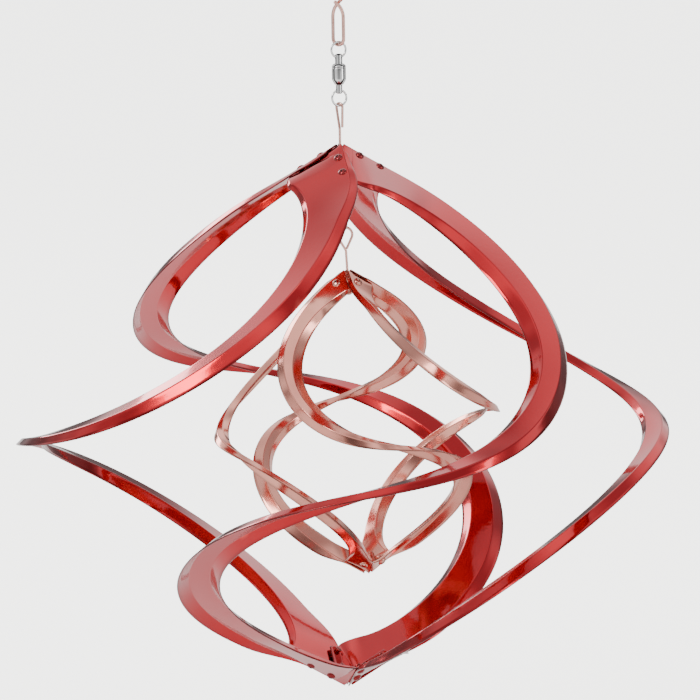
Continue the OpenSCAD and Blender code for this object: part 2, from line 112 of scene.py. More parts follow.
def ring_faces(rings, count):
    """Quads between successive rings of count points, with the ring's own point order."""
    faces = []
    for i in range(rings - 1):
        for j in range(count):
            k = (j + 1) % count
            a = i * count
            b = a + count
            faces.append((a + j, a + k, b + k, b + j))
    return faces


# ---------------------------------------------------------------- the blades

SHAPE = {
    "out": [0.441, 0.477, 0.102, -0.02],
    "side": [1, 0.224, -0.067],
    "side_root": 0.044,
    "rise": [0.946, 0.04, -0.095],
    "bank": [24.6, -16.1, -14.9, -3, 0.7],
    "bank_root": 4.3,
    "face": [1.2, -0.73, 0.28, -0.12, 0.07, -0.06],
    "face_root": 0.9,
    "edge": [1, 0.2, -0.4],
}
EDGE_BEND = 44
EDGE_BEND_MORE = 5
LEAST_EDGE = 0.3
LAP_OPEN = 18
LAP_GAP = 0.35
TIP_R = 1.9
CORNER_SHARE = 1.7
ROOT_SHARE = 0.28
# Stretches of a blade, as places from -1 to 1, over which its parts pass into the hub
LAP_FROM = 0.68
LAP_TO = 0.86
LAP_EDGE_TO = 0.93
FOOT_FROM = 0.9
TUCK_FROM = 0.88
TILT_FROM = 0.7
TILT_TO = 0.95
DROOP_FROM = 0.12
DROOP_TO = 0.7


class Blade:
    """The middle surface of one S-shaped blade, as crease lines and bent edges."""

    def __init__(self, reach, half_height, loop, face, flange, sheet, slope, lean, tab, droop,
                 bend_r):
        self.reach = reach
        self.half_height = half_height
        self.loop = loop
        self.face = face
        self.flange = flange
        self.sheet = sheet
        self.slope = slope
        self.lean = lean
        self.tab = tab
        self.droop = droop
        self.bend_r = bend_r
        self.steep = math.sqrt(1 + 2 * slope * slope)
        self.lift = (sheet + LAP_GAP) * self.steep
        self.corner_r = CORNER_SHARE * self.middle(-1).x
        self.root_r = ROOT_SHARE * self.corner_r
        self.fall = self.lift / self.corner_r

    def middle(self, s):
        return Vector((
            self.reach * cosines(SHAPE["out"], s),
            -self.loop * (sines(SHAPE["side"], s) + SHAPE["side_root"] * s ** 7),
            -self.half_height * (SHAPE["rise"][0] * s + sines(SHAPE["rise"][1:], s)),
        ))

    def width(self, s):
        return self.face * (cosines(SHAPE["face"], s) + SHAPE["face_root"] * s ** 8)

    def across(self, s):
        way = (self.middle(s + 0.01) - self.middle(s - 0.01)).normalized()
        level = Vector((-way.y, way.x, 0)).normalized()
        wave = SHAPE["bank"][0] * s + sines(SHAPE["bank"][1:], s) + SHAPE["bank_root"] * s ** 7
        bank = math.radians(mix(-self.lean, -1, ease(abs(s), TILT_FROM, TILT_TO)) * wave)
        return math.cos(bank) * level + math.sin(bank) * way.cross(level)

    def lap_ridge(self, r):
        return Vector((0, r, self.half_height + self.lift - self.slope * r))

    def tuck_ridge(self, r):
        return Vector((r, 0, self.half_height - self.slope * r))

    def creases(self, q):
        """Both crease points at place q, with the blade's outer parts hanging down a little."""
        pair = self.stiff_creases(q)
        for point in pair:
            out = math.hypot(point.x, point.y)
            share = ease(out, DROOP_FROM * self.reach, DROOP_TO * self.reach)
            point.z -= self.droop * share
        return pair

    def stiff_creases(self, q):
        """Both crease points at place q: -2 to -1 is the upper hub, -1 to 1 the free blade."""
        if q > 0:
            return tuple(Vector((p.x, -p.y, -p.z)) for p in self.stiff_creases(-q))
        if q < -1:
            share = q + 2
            return (
                self.lap_ridge(mix(TIP_R, self.root_r, share)),
                self.tuck_ridge(mix(TIP_R, self.corner_r, share)),
            )
        middle = self.middle(q)
        half = self.across(q) * self.width(q) / 2
        lap = middle + half
        ridge = self.lap_ridge(mix(lap.y, self.root_r, ease(-q, FOOT_FROM, 1)))
        lap = lap.lerp(ridge, ease(-q, LAP_FROM, LAP_TO))
        tuck = middle - half
        tuck.y = max(tuck.y, 0)
        tuck = tuck.lerp(self.tuck_ridge(self.corner_r), ease(-q, TUCK_FROM, 1))
        return lap, tuck

    def edge_width(self, s):
        return self.flange * cosines(SHAPE["edge"], s)

    def lap_width(self, q):
        if q < -1:
            return LEAST_EDGE
        if q < 0:
            return mix(LEAST_EDGE, self.edge_width(q), ease(q, -1, -LAP_EDGE_TO))
        return mix(self.edge_width(min(q, 1)), LEAST_EDGE, ease(q, TILT_FROM, LAP_TO))

    def tuck_width(self, q):
        if abs(q) > 1:
            share = 2 - abs(q)
            grown = mix(LEAST_EDGE, self.tab, ease(share, 0.02, 0.24))
            return mix(grown, LEAST_EDGE, ease(share, 0.92, 1))
        return mix(self.edge_width(q), LEAST_EDGE, ease(abs(q), TUCK_FROM, 1))

    def free_bend(self, q):
        return EDGE_BEND + EDGE_BEND_MORE * math.cos(math.pi * q)

    def lap_bend(self, q, up, r):
        """In the hub the lapping edge lies along the neighbour's face, a little open at the end."""
        if q > 0:
            return self.free_bend(min(q, 1))
        share = min((r - TIP_R) / (self.corner_r - TIP_R), 1)
        foot = mix(TIP_R, self.root_r, share)
        below = Vector((self.lift / foot - self.slope, self.slope, 1)).normalized()
        folded = math.degrees(up.angle(below))
        folded -= LAP_OPEN * ease(r, 0.6 * self.corner_r, self.corner_r)
        return mix(self.free_bend(max(q, -1)), folded, ease(-q, LAP_FROM, LAP_TO))

    def tuck_bend(self, q, up):
        if abs(q) <= 1:
            return self.free_bend(q)
        sign = -1 if q > 0 else 1
        over = Vector((sign * self.slope, -self.slope - self.fall, 1)).normalized()
        return sign * math.degrees(up.angle(over))


WEDGE_STEPS = 36
FREE_STEPS = 120
FLANGE_STEPS = 4
BEND_STEPS = 6
RIM_STEPS = 4
FACE_PLACES = [0.02, 0.06, 0.14, 0.28, 0.5, 0.72, 0.86, 0.94, 0.98]


def blade_places():
    upper = [-2 + i / WEDGE_STEPS for i in range(WEDGE_STEPS)]
    upper += [-1 + i / FREE_STEPS for i in range(FREE_STEPS)]
    return upper + [0] + [-q for q in reversed(upper)]


def bent_edge(corner, out, up, width, bend, bend_r):
    """Points and normals from the flat face's border, round the bend, to the edge's end."""
    angle = math.radians(abs(bend))
    sign = 1 if bend > 0 else -1
    radius = min(bend_r, 0.7 * width / math.tan(angle / 2))
    reach_in = radius * math.tan(angle / 2)
    start = corner - out * reach_in
    centre = start - sign * radius * up
    line = []
    for i in range(BEND_STEPS + 1):
        t = angle * i / BEND_STEPS
        normal = math.cos(t) * up + sign * math.sin(t) * out
        line.append((centre + sign * radius * normal, normal))
    way = math.cos(angle) * out - sign * math.sin(angle) * up
    last_point, last_normal = line[-1]
    for i in range(1, FLANGE_STEPS + 1):
        line.append((last_point + way * (width - reach_in) * i / FLANGE_STEPS, last_normal))
    return line, way


def blade_mesh(blade):
    """The whole blade: a sheet of even thickness with rounded bends and rounded edges."""
    places = blade_places()
    pairs = [blade.creases(q) for q in places]
    half = blade.sheet / 2
    points = []
    last = len(places) - 1
    for i, q in enumerate(places):
        before = pairs[max(i - 1, 0)]
        after = pairs[min(i + 1, last)]
        lap, tuck = pairs[i]
        lap_way = (after[0] - before[0]).normalized()
        tuck_way = (after[1] - before[1]).normalized()
        way = (lap_way + tuck_way).normalized()
        side = (lap - tuck).normalized()
        up = way.cross(side).normalized()
        lap_out = lap_way.cross(up).normalized()
        if lap_out.dot(side) < 0:
            lap_out.negate()
        tuck_out = tuck_way.cross(up).normalized()
        if tuck_out.dot(side) > 0:
            tuck_out.negate()
        lap_line, lap_end = bent_edge(
            lap, lap_out, up, blade.lap_width(q), blade.lap_bend(q, up, lap.y), blade.bend_r)
        tuck_line, tuck_end = bent_edge(
            tuck, tuck_out, up, blade.tuck_width(q), blade.tuck_bend(q, up), blade.bend_r)
        face_line = [
            (lap_line[0][0].lerp(tuck_line[0][0], t), up) for t in FACE_PLACES]
        line = list(reversed(lap_line)) + face_line + tuck_line
        top = [p + n * half for p, n in line]
        bottom = [p - n * half for p, n in reversed(line)]
        rims = []
        for (end, normal), way_out, sign in ((line[-1], tuck_end, 1), (line[0], lap_end, -1)):
            rims.append([
                end + way_out * half * math.sin(math.pi * j / RIM_STEPS)
                + sign * normal * half * math.cos(math.pi * j / RIM_STEPS)
                for j in range(1, RIM_STEPS)])
        points += top + rims[0] + bottom + rims[1]
    columns = len(top)
    rim = RIM_STEPS - 1
    count = 2 * columns + 2 * rim
    faces = ring_faces(len(places), count)
    for base, flip in ((0, True), (last * count, False)):
        cap = []
        for j in range(columns - 1):
            cap.append((j, j + 1, 2 * columns + rim - 2 - j, 2 * columns + rim - 1 - j))
        cap.append(tuple(columns - 1 + j for j in range(rim + 2)))
        cap.append(tuple((2 * columns + rim - 1 + j) % count for j in range(rim + 2)))
        for face in cap:
            face = tuple(base + v for v in face)
            faces.append(tuple(reversed(face)) if flip else face)
    return points, [tuple(reversed(f)) for f in faces]


OUTER = Blade(171, 148.6, 83, 13, 5.2, 0.8, 0.59, 1, 6.6, 3.1, 1.0)
INNER = Blade(75.5, 83.5, 39, 5, 4.2, 0.6, 0.675, 1.9, 6, 0, 0.7)
OUTER_TURN = 11
INNER_TURN = 14
OUTER_SPOTS = [(10, 2.9), (21, 2.9)]
INNER_SPOTS = [(7.2, 3.6)]
HEAD_DROP = 0.12
PEAK_GAP = 68
INNER_HANG = 3


# ---------------------------------------------------------------- lathed and swept shapes

TURN_STEPS = 56


def lathe(profile, matrix):
    """Revolves (radius, height) points, from the lower axis point round to the upper one."""
    points = []
    for r, z in profile:
        for j in range(TURN_STEPS):
            angle = 2 * math.pi * j / TURN_STEPS
            points.append(matrix @ Vector((r * math.cos(angle), r * math.sin(angle), z)))
    faces = ring_faces(len(profile), TURN_STEPS)
    faces.append(tuple(reversed(range(TURN_STEPS))))
    top = (len(profile) - 1) * TURN_STEPS
    faces.append(tuple(top + j for j in range(TURN_STEPS)))
    return points, faces


def softened(profile, radius, steps=4):
    """The same profile with every inner corner turned into a small curve."""
    out = [profile[0]]
    for before, corner, after in zip(profile, profile[1:], profile[2:]):
        here = Vector(corner)
        back = Vector(before) - here
        ahead = Vector(after) - here
        cut = min(radius, 0.45 * back.length, 0.45 * ahead.length)
        start = here + back.normalized() * cut
        end = here + ahead.normalized() * cut
        for i in range(steps + 1):
            t = i / steps
            p = start * (1 - t) ** 2 + here * 2 * t * (1 - t) + end * t ** 2
            out.append((max(p.x, 0), p.y))
    out.append(profile[-1])
    return out


def closed_lathe(profile, matrix):
    """Revolves a closed (radius, height) outline that stays clear of the axis."""
    points, faces = lathe(profile + [profile[0]], matrix)
    return points, faces[:-2]


def smooth_path(path, spacing, passes):
    """Even points along a broken line, with its corners eased by averaging neighbours."""
    line = [path[0]]
    for a, b in zip(path, path[1:]):
        count = max(1, round((b - a).length / spacing))
        line += [a.lerp(b, i / count) for i in range(1, count + 1)]
    for _ in range(passes):
        inner = [(a + 2 * b + c) / 4 for a, b, c in zip(line, line[1:], line[2:])]
        line = [line[0]] + inner + [line[-1]]
    return line


SIDES = 20


def tube(path, radius, closed=False):
    """A round wire along a path, with rounded ends, or closed on itself."""
    ways = []
    last = len(path) - 1
    for i in range(len(path)):
        before = path[i - 1] if closed else path[max(i - 1, 0)]
        after = path[(i + 1) % len(path)] if closed else path[min(i + 1, last)]
        ways.append((after - before).normalized())
    side = ways[0].orthogonal().normalized()
    rings = []
    for point, way in zip(path, ways):
        side = (side - way * side.dot(way)).normalized()
        rings.append((point, way, side.copy(), radius))
    if not closed:
        for at, sign in ((0, -1), (last, 1)):
            point, way, side, _ = rings[0 if sign < 0 else -1]
            ends = []
            for j in range(1, 6):
                angle = math.pi / 2 * j / 5
                reach = radius * math.sin(angle) * 0.6
                ends.append((point + way * sign * reach, way, side,
                             max(radius * math.cos(angle), radius * 0.02)))
            rings = list(reversed(ends)) + rings if sign < 0 else rings + ends
    points = []
    for point, way, side, r in rings:
        other = way.cross(side)
        for j in range(SIDES):
            angle = 2 * math.pi * j / SIDES
            points.append(point + (side * math.cos(angle) + other * math.sin(angle)) * r)
    faces = ring_faces(len(rings), SIDES)
    if closed:
        base = (len(rings) - 1) * SIDES
        shift = min(range(SIDES), key=lambda j: (points[base] - points[j]).length)
        for j in range(SIDES):
            k = (j + 1) % SIDES
            a = (j + shift) % SIDES
            b = (k + shift) % SIDES
            faces.append((base + j, base + k, b, a))
    else:
        faces.append(tuple(reversed(range(SIDES))))
        faces.append(tuple((len(rings) - 1) * SIDES + j for j in range(SIDES)))
    return points, faces


def joined(shapes):
    """Several (points, faces) shapes as one."""
    points = []
    faces = []
    for more_points, more_faces in shapes:
        base = len(points)
        points += list(more_points)
        faces += [tuple(base + v for v in face) for face in more_faces]
    return points, faces


def on_bend(centre, radius, degrees):
    """A point of a circle in the XZ plane, as (x, z)."""
    angle = math.radians(degrees)
    return Vector((centre[0] + radius * math.cos(angle), centre[1] + radius * math.sin(angle)))


def arc(centre, radius, start, end, steps=40):
    return [on_bend(centre, radius, mix(start, end, i / steps)) for i in range(steps + 1)]


def upright(points):
    return [Vector((p.x, 0, p.y)) for p in points]


# ---------------------------------------------------------------- materials

def new_material(name):
    material = bpy.data.materials.new(name)
    material.use_nodes = True
    tree = material.node_tree
    shader = tree.nodes["Principled BSDF"]
    return material, tree, shader


def add(tree, kind, **values):
    node = tree.nodes.new(kind)
    for key, value in values.items():
        if key in node.inputs:
            node.inputs[key].default_value = value
        else:
            setattr(node, key, value)
    return node


def object_noise(tree, scale, detail):
    """Noise in the object's own coordinates, so that it sticks to the piece as it moves."""
    where = add(tree, "ShaderNodeTexCoord")
    noise = add(tree, "ShaderNodeTexNoise", Scale=scale, Detail=detail)
    tree.links.new(where.outputs["Object"], noise.inputs["Vector"])
    return noise


def ramp(tree, source, stops):
    node = add(tree, "ShaderNodeValToRGB")
    elements = node.color_ramp.elements
    while len(elements) < len(stops):
        elements.new(0.5)
    for element, (place, colour) in zip(elements, stops):
        element.position = place
        element.color = (*colour, 1)
    tree.links.new(source, node.inputs["Fac"])
    return node


def grey(value):
    return (value, value, value)


def shaded(tree, colour, source, stops):
    """The colour multiplied by a grey that follows the source's value."""
    shade = ramp(tree, source, [(at, grey(value)) for at, value in stops])
    blend = add(tree, "ShaderNodeMix", data_type="RGBA", blend_type="MULTIPLY")
    blend.inputs["Factor"].default_value = 1
    tree.links.new(colour, blend.inputs["A"])
    tree.links.new(shade.outputs["Color"], blend.inputs["B"])
    return blend.outputs["Result"]


def candy_lacquer(name, bright, deep):
    """Red tinted clear lacquer over bright metal, with orange peel. The lacquer is thin and
    light on outer edges, and painted shade darkens the hollow side of a bend."""
    material, tree, shader = new_material(name)
    drift = object_noise(tree, 9, 3)
    colour = ramp(tree, drift.outputs["Fac"], [(0.3, deep), (0.7, bright)])
    edge = add(tree, "ShaderNodeNewGeometry")
    worn = ramp(tree, edge.outputs["Pointiness"], [(0.5, grey(0)), (0.62, grey(1))])
    blend_edge = add(tree, "ShaderNodeMix", data_type="RGBA")
    blend_edge.inputs["B"].default_value = (0.95, 0.12, 0.1, 1)
    part = add(tree, "ShaderNodeMath", operation="MULTIPLY")
    part.inputs[1].default_value = 0.45
    tree.links.new(worn.outputs["Color"], part.inputs[0])
    tree.links.new(part.outputs["Value"], blend_edge.inputs["Factor"])
    tree.links.new(colour.outputs["Color"], blend_edge.inputs["A"])
    # Painted shade: the colour is darkened where the surface is hollow, along the inner side of
    # each crease
    painted_crease_shade = shaded(tree, blend_edge.outputs["Result"], edge.outputs["Pointiness"],
                    [(0.44, 0.2), (0.495, 1)])
    tree.links.new(painted_crease_shade, shader.inputs["Base Color"])
    shader.inputs["Metallic"].default_value = 1
    smudge = object_noise(tree, 55, 4)
    rough = ramp(tree, smudge.outputs["Fac"], [(0.35, grey(0.09)), (0.75, grey(0.18))])
    tree.links.new(rough.outputs["Color"], shader.inputs["Roughness"])
    peel = object_noise(tree, 420, 2)
    bump = add(tree, "ShaderNodeBump")
    bump.inputs["Strength"].default_value = 0.035
    bump.inputs["Distance"].default_value = 0.0004
    tree.links.new(peel.outputs["Fac"], bump.inputs["Height"])
    tree.links.new(bump.outputs["Normal"], shader.inputs["Normal"])
    tree.links.new(bump.outputs["Normal"], shader.inputs["Coat Normal"])
    shader.inputs["Coat Weight"].default_value = 1
    shader.inputs["Coat Roughness"].default_value = 0.04
    shader.inputs["Coat IOR"].default_value = 1.35
    return material


def polished_metal(name, light, dark, rough_low, rough_high, ripple, wave_scale, painted_light_bands=(),
                   crease=1):
    """Plated and polished metal: a slight drift of tint, faint smudges and a gentle ripple.
    Its bands are grey stops of painted reflection and painted shade, from a face seen square on to
    one seen edge on, and crease is the painted shade of the hollow side of a bend."""
    material, tree, shader = new_material(name)
    drift = object_noise(tree, 22, 3)
    colour = ramp(tree, drift.outputs["Fac"], [(0.3, dark), (0.7, light)])
    tint = colour.outputs["Color"]
    # Painted reflection and painted shade: the tint is lightened or darkened by how square on the
    # surface faces the camera
    if painted_light_bands:
        facing = add(tree, "ShaderNodeLayerWeight", Blend=0.5)
        tint = shaded(tree, tint, facing.outputs["Facing"], painted_light_bands)
    # Painted shade: darker on the hollow side of each bend
    if crease < 1:
        bend = add(tree, "ShaderNodeNewGeometry")
        tint = shaded(tree, tint, bend.outputs["Pointiness"], [(0.45, crease), (0.495, 1)])
    tree.links.new(tint, shader.inputs["Base Color"])
    shader.inputs["Metallic"].default_value = 1
    smudge = object_noise(tree, 130, 5)
    rough = ramp(tree, smudge.outputs["Fac"],
                 [(0.35, grey(rough_low)), (0.75, grey(rough_high))])
    tree.links.new(rough.outputs["Color"], shader.inputs["Roughness"])
    waves = object_noise(tree, wave_scale, 1)
    bump = add(tree, "ShaderNodeBump")
    bump.inputs["Strength"].default_value = ripple
    bump.inputs["Distance"].default_value = 0.0006
    tree.links.new(waves.outputs["Fac"], bump.inputs["Height"])
    tree.links.new(bump.outputs["Normal"], shader.inputs["Normal"])
    return material


# Painted light: grey stops by viewing angle. The wire stops paint shade towards a wire's sides, and
# the chrome and ring stops paint the bright and dark stripes of mirrored surroundings
WIRE_PAINTED_SHADE_BANDS = [(0, 1), (0.45, 0.75), (0.8, 0.4), (1, 0.3)]
CHROME_PAINTED_REFLECTION_BANDS = [(0, 0.25), (0.05, 0.95), (0.17, 0.95), (0.23, 0.04), (0.36, 0.04), (0.42, 0.9),
                (0.55, 0.8), (0.64, 0.03), (1, 0.06)]
RING_PAINTED_REFLECTION_BANDS = [(0, 1), (0.2, 0.9), (0.34, 0.12), (1, 0.04)]
RED = candy_lacquer("red_lacquer", (0.62, 0.012, 0.02), (0.46, 0.007, 0.013))
RED_RIVET = candy_lacquer("red_rivet_lacquer", (0.24, 0.005, 0.01), (0.15, 0.003, 0.006))
COPPER = polished_metal("polished_copper", (0.93, 0.42, 0.33), (0.74, 0.29, 0.23),
                        0.13, 0.2, 0.04, 40, crease=0.4)
COPPER_RIVET = polished_metal("copper_rivet_metal", (0.85, 0.44, 0.36), (0.7, 0.33, 0.26),
                              0.14, 0.28, 0.2, 300, WIRE_PAINTED_SHADE_BANDS)
COPPER_WIRE = polished_metal("copper_wire_metal", (0.95, 0.58, 0.5), (0.86, 0.46, 0.38),
                             0.12, 0.25, 0.2, 400, WIRE_PAINTED_SHADE_BANDS)
CHROME = polished_metal("bright_chrome", (0.97, 0.97, 0.97), (0.9, 0.9, 0.91),
                        0.06, 0.13, 0.08, 300, CHROME_PAINTED_REFLECTION_BANDS)
RING_CHROME = polished_metal("ring_chrome", (0.97, 0.97, 0.97), (0.9, 0.9, 0.91),
                             0.06, 0.13, 0.08, 300, RING_PAINTED_REFLECTION_BANDS)
STEEL = polished_metal("bearing_steel_metal", (0.62, 0.62, 0.63), (0.5, 0.5, 0.52),
                       0.15, 0.3, 0.1, 500)
MANDREL = polished_metal("mandrel_steel", (0.16, 0.15, 0.15), (0.07, 0.06, 0.06),
                         0.35, 0.55, 0.3, 600)


# ---------------------------------------------------------------- blades in place

OUTER_MIDDLE_Z = node_middle("outer_blade_1")[2]
OUTER_PEAK_Z = OUTER_MIDDLE_Z + OUTER.half_height
INNER_PEAK_Z = OUTER_PEAK_Z - PEAK_GAP
RING_WIRE_R = 0.55
RING_R = 4.2
EYE_WIRE_R = 0.7
HUNG = RING_WIRE_R + EYE_WIRE_R + 0.1
UNDER_EYE_R = 1.95
UNDER_LEN = 5.4
UNDER_STEM = -5.6
BARREL_H = 11.2
UPPER_NECK = 3.3
LOWER_NECK = 3
UNDER_BOTTOM = OUTER_PEAK_Z + UNDER_STEM - UNDER_LEN - UNDER_EYE_R
LOWER_SWIVEL_Z = UNDER_BOTTOM + HUNG - BARREL_H - UPPER_NECK - 2 * RING_R
INNER_HANG_Z = LOWER_SWIVEL_Z - LOWER_NECK - 2 * RING_R + HUNG

LEAN = (Matrix.Translation((0, 0, UNDER_BOTTOM))
        @ Matrix.Rotation(math.radians(-INNER_HANG), 4, "Y")
        @ Matrix.Translation((0, 0, -UNDER_BOTTOM)))
OUTER_PLACE = Matrix.Translation((0, 0, OUTER_MIDDLE_Z)) @ turn_z(OUTER_TURN)
INNER_PLACE = (LEAN @ Matrix.Translation((0, 0, INNER_PEAK_Z - INNER.half_height))
               @ turn_z(INNER_TURN) @ Matrix.Scale(-1, 4, Vector((0, 1, 0))))
LOWER_HUB = Matrix.Rotation(math.pi, 4, "X")


def place_blades(name, blade, place, material):
    points, faces = blade_mesh(blade)
    for k in range(4):
        make_piece(f"{name}_blade_{k + 1}_sheet", points, faces, material, name + "_spinner",
                   [f"{name}_blade_{k + 1}"], place @ turn_z(90 * k))


place_blades("outer", OUTER, OUTER_PLACE, RED)
place_blades("inner", INNER, INNER_PLACE, COPPER)


# ---------------------------------------------------------------- pop rivets

RIVET_R = 1.2
HEAD_R = 2.5
HEAD_H = 1.8
DIMPLE_R = 0.62
DIMPLE_Z = 0.7
TAIL_R = 1.7
TAIL_H = 1.4
DOME_STEPS = 12


def rivet_places(blade, spots):
    lift = blade.lift + blade.sheet / 2 * blade.steep - HEAD_DROP
    fall_x = blade.slope + blade.fall
    fall_y = blade.slope
    tilt = Matrix.Rotation(math.atan(math.hypot(fall_x, fall_y)), 4, "Y")
    facing = turn_z(math.degrees(math.atan2(fall_y, fall_x)))
    for k in range(4):
        for along, away in spots:
            z = blade.half_height + lift - fall_x * away - fall_y * along
            yield turn_z(90 * k) @ Matrix.Translation((away, along, z)) @ facing @ tilt


def rivet_profile(blade):
    grip = 2 * blade.sheet + LAP_GAP + 0.3
    profile = softened([
        (0.01, -grip - TAIL_H), (TAIL_R, -grip - TAIL_H), (TAIL_R, -grip), (RIVET_R, -grip),
        (RIVET_R, 0), (HEAD_R, 0)], 0.35)
    for i in range(DOME_STEPS + 1):
        angle = math.radians(mix(8, 72, i / DOME_STEPS))
        profile.append((HEAD_R * math.cos(angle) ** 0.9, HEAD_H * math.sin(angle) ** 0.8))
    profile += softened([
        (DIMPLE_R + 0.1, HEAD_H - 0.01), (DIMPLE_R, HEAD_H - 0.05), (DIMPLE_R, DIMPLE_Z),
        (0.01, DIMPLE_Z)], 0.12)
    return profile


def mandrel_profile():
    return [(0.01, DIMPLE_Z - 0.2), (DIMPLE_R - 0.06, DIMPLE_Z - 0.2),
            (DIMPLE_R - 0.06, 1.04), (DIMPLE_R - 0.12, 1.12), (0.4, 1.14), (0.34, 1.06),
            (0.2, 1), (0.01, 0.98)]


def place_rivets(name, blade, spots, place, material):
    for hub, turn in (("top", Matrix.Identity(4)), ("bottom", LOWER_HUB)):
        node = f"{name}_{hub}_rivets"
        places = [place @ turn @ m for m in rivet_places(blade, spots)]
        flipped = place.determinant() < 0
        for part, profile, part_material, nodes in (
                ("heads", rivet_profile(blade), material, [node]),
                ("mandrels", mandrel_profile(), MANDREL, [])):
            points, faces = joined([lathe(profile, m) for m in places])
            if flipped:
                faces = [tuple(reversed(f)) for f in faces]
            make_piece(f"{node}_{part}", points, faces, part_material, name + "_spinner",
                       nodes)


place_rivets("outer", OUTER, OUTER_SPOTS, OUTER_PLACE, RED_RIVET)
place_rivets("inner", INNER, INNER_SPOTS, INNER_PLACE, COPPER_RIVET)


# ---------------------------------------------------------------- wires

LOOP_TURN = -35
INNER_LOOP_TURN = 0
RING_TURN = 25
LOWER_SWIVEL_TURN = 45
HANGER_WIRE_R = 0.95
HOOK_R = 9
HOOK_LINE_R = HOOK_R + HANGER_WIRE_R
HOOK_OVER = 32
LINK_BEND_R = 3.4
LINK_LEN = 19
SPLAY = 48
WIRE_STEP = 0.25
OUTER_EYE_R = 1.95
OUTER_EYE_LEN = 12
INNER_EYE_R = 4
INNER_EYE_LEN = 8.6
OPEN_SHARE = 0.15
CLOSED_SHARE = 1
TIP_GAP = 1.2


def hanger_path():
    cross_z = -HOOK_R - HOOK_LINE_R / math.sin(math.radians(SPLAY))
    link_z = cross_z - LINK_LEN
    side_r = LINK_BEND_R / (1 - math.cos(math.radians(SPLAY)))
    shoulder_z = cross_z - side_r * math.sin(math.radians(SPLAY))
    free_turn = math.asin((2 * HANGER_WIRE_R + 0.3) / LINK_BEND_R)
    flat = arc((0, -HOOK_R), HOOK_LINE_R, 180 + HOOK_OVER, -SPLAY)
    flat += arc((side_r - LINK_BEND_R, shoulder_z), side_r, 180 - SPLAY, 180)
    flat += arc((0, link_z), LINK_BEND_R, 180, 360)
    path = upright(flat)
    for p in arc((LINK_BEND_R - side_r, shoulder_z), side_r, 0, SPLAY * 1.15):
        inward = LINK_BEND_R - p.x
        path.append(Vector((LINK_BEND_R - inward * math.cos(free_turn),
                            -inward * math.sin(free_turn), p.y)))
    return path


def loop_path(stem_z, length, radius, share):
    lean = math.degrees(math.asin(radius / length))
    path = [Vector((0, stem_z))]
    path += arc((0, stem_z + length), radius, 180 + lean, -lean * share)
    back = math.radians(lean * share)
    side_length = math.sqrt(length * length - radius * radius)
    path.append(path[-1] - (side_length - TIP_GAP) * Vector((math.sin(back), math.cos(back))))
    return path


def eye_path(stem_top, stem_bottom, length, radius, share):
    below = loop_path(-stem_bottom, UNDER_LEN, UNDER_EYE_R, OPEN_SHARE)
    below = [Vector((p.x, -p.y)) for p in below]
    return upright(list(reversed(loop_path(stem_top, length, radius, share))) + below)


def place_wire(name, body, path, radius, place, turn):
    points, faces = tube(smooth_path(path, WIRE_STEP, 4), radius)
    make_piece(name + "_wire", points, faces, COPPER_WIRE, body, [name],
               place @ turn_z(turn))


UPPER_RING_BOTTOM = node_bottom("upper_swivel_bottom_ring") + RING_WIRE_R
OUTER_STEM = UPPER_RING_BOTTOM + HUNG - OUTER_EYE_R - OUTER_EYE_LEN - OUTER_PEAK_Z
INNER_STEM = INNER_HANG_Z - INNER_EYE_R - INNER_EYE_LEN - INNER_PEAK_Z
place_wire("hanger_hook", "hanger", hanger_path(), HANGER_WIRE_R, Matrix.Identity(4), LOOP_TURN)
place_wire("outer_wire_eye", "outer_spinner",
           eye_path(OUTER_STEM, UNDER_STEM, OUTER_EYE_LEN, OUTER_EYE_R, OPEN_SHARE), EYE_WIRE_R,
           Matrix.Translation((0, 0, OUTER_PEAK_Z)), LOOP_TURN)
place_wire("inner_wire_eye", "inner_spinner",
           eye_path(INNER_STEM, UNDER_STEM, INNER_EYE_LEN, INNER_EYE_R, CLOSED_SHARE), EYE_WIRE_R,
           LEAN @ Matrix.Translation((0, 0, INNER_PEAK_Z)), INNER_LOOP_TURN)


# ---------------------------------------------------------------- swivels

BARREL_R = 3.8
BORE_R = 1.31
CAVITY_R = 3.1
SHANK_R = 1.25
FLOOR_H = 2.3
RIM_Z = BARREL_H - 1.5
PLUG_H = 1.5
SEAM = 0.06


def barrel_profile():
    outside = softened([
        (BORE_R, 0), (2.2, 0), (2.92, 1.05), (3.53, 2.16), (BARREL_R, 3),
        (BARREL_R, RIM_Z - 0.9), (BARREL_R - 0.14, RIM_Z - 0.75),
        (BARREL_R - 0.14, RIM_Z - 0.55), (BARREL_R, RIM_Z - 0.4), (BARREL_R, RIM_Z - SEAM),
        (CAVITY_R, RIM_Z - SEAM)], 0.3)
    return outside + [(CAVITY_R, FLOOR_H), (BORE_R, FLOOR_H)]


def cap_profile():
    plug = [(SHANK_R + 0.01, RIM_Z - PLUG_H), (CAVITY_R - 0.01, RIM_Z - PLUG_H),
            (CAVITY_R - 0.01, RIM_Z + 0.01)]
    dome = softened([
        (CAVITY_R, RIM_Z + 0.01), (BARREL_R, RIM_Z + 0.01), (BARREL_R, RIM_Z + 0.4),
        (3.3, BARREL_H - 0.5), (2.7, BARREL_H), (SHANK_R + 0.01, BARREL_H)], 0.35)
    return plug + dome


def ring_path(z):
    turn = turn_z(RING_TURN)
    return [turn @ p for p in upright(arc((0, z), RING_R, 0, 360, 96)[:-1])]


